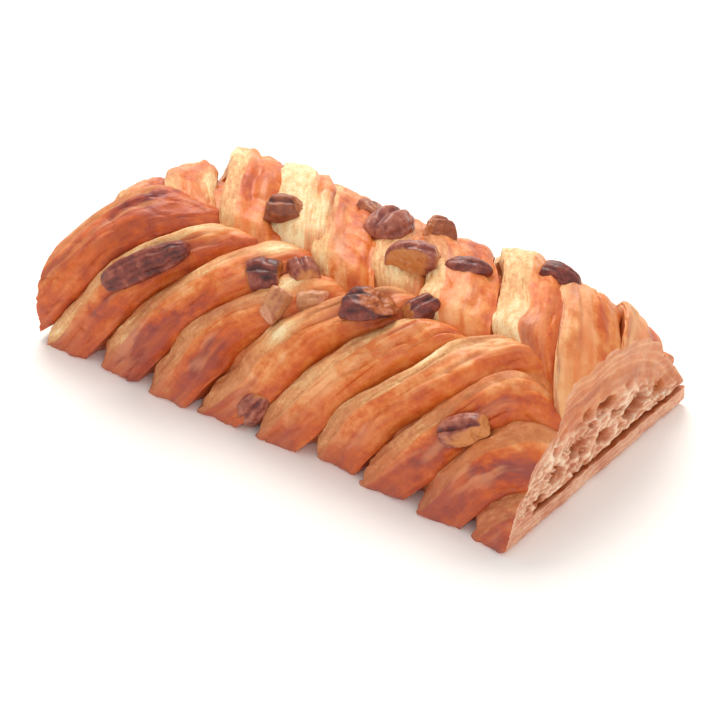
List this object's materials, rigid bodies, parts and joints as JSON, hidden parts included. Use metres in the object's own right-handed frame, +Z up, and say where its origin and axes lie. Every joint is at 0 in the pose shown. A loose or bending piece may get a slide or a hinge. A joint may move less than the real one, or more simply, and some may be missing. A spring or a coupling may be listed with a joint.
{
  "type": "pecan danish",
  "caption": "Plaited pastry loaf: strips of glazed laminated dough folded over from both sides, cut ends showing open layers, topped with a pecan half and broken pecans.",
  "frame": {"origin": "on the surface it rests on, under the middle of its box", "axes": "+X along the loaf towards the cut end that the strips lean to, +Y across it, +Z up"},
  "size_m": [0.134, 0.0721, 0.0404],
  "materials": {
    "baked_dough": "satin",
    "pecan_skin": "satin",
    "pecan_flesh": "satin"
  },
  "bodies": {
    "root": {"pastry": "baked_dough", "pecan_half": "pecan_skin", "pecan_piece_01": "pecan_flesh", "pecan_piece_02": "pecan_skin", "pecan_piece_03": "pecan_skin", "pecan_piece_04": "pecan_flesh", "pecan_piece_05": "pecan_flesh", "pecan_piece_06": "pecan_skin", "pecan_piece_07": "pecan_skin", "pecan_piece_08": "pecan_skin", "pecan_piece_09": "pecan_skin", "pecan_piece_10": "pecan_skin", "pecan_piece_11": "pecan_flesh", "pecan_piece_12": "pecan_flesh", "pecan_piece_13": "pecan_skin", "pecan_piece_14": "pecan_skin", "pecan_piece_15": "pecan_flesh", "pecan_piece_16": "pecan_skin", "pecan_piece_17": "pecan_flesh", "pecan_piece_18": "pecan_skin"}
  },
  "joints": []
}
